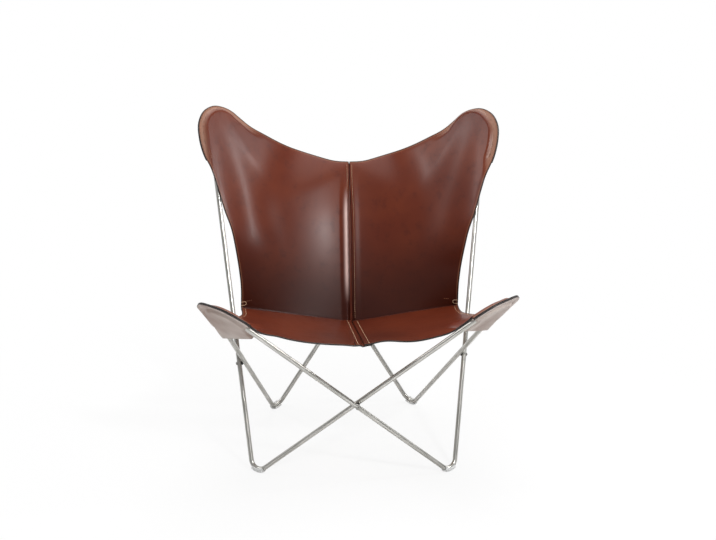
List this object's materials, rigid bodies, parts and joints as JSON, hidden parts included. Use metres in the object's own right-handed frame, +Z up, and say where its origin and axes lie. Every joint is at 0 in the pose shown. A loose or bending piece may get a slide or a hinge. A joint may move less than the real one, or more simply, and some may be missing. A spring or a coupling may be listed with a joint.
{
  "type": "sling chair",
  "caption": "Butterfly-shaped lounge chair: a leather sling hangs by sewn corner pockets from two crossed loops of bent steel rod.",
  "frame": {"origin": "on the floor under the middle of the chair's bounding box", "axes": "+X to the right of someone who faces the chair, +Y to the back, +Z up"},
  "size_m": [0.8046, 0.7516, 0.8681],
  "materials": {
    "steel": "satin stainless rod",
    "leather": "smooth chestnut grain side, semi-gloss, painted edges",
    "leather_flesh": "matt flesh side of the same leather",
    "spacer_plastic": "black moulded ring",
    "glide_plastic": "translucent clip-on shell"
  },
  "bodies": {
    "root": {"frame_loop_left": "steel", "frame_loop_right": "steel", "spacer_front": "spacer_plastic", "screw_front": "steel", "spacer_rear": "spacer_plastic", "screw_rear": "steel", "spacer_left": "spacer_plastic", "screw_left": "steel", "spacer_right": "spacer_plastic", "screw_right": "steel", "glide_front_left": "glide_plastic", "glide_rear_right": "glide_plastic", "glide_front_right": "glide_plastic", "glide_rear_left": "glide_plastic", "back_panel_left": "leather", "back_pocket_left": "leather_flesh", "seat_panel_left": "leather", "seat_pocket_left": "leather_flesh", "back_panel_right": "leather", "back_pocket_right": "leather_flesh", "seat_panel_right": "leather", "seat_pocket_right": "leather_flesh", "middle_strip_back": "leather", "middle_strip_seat": "leather"}
  },
  "joints": []
}
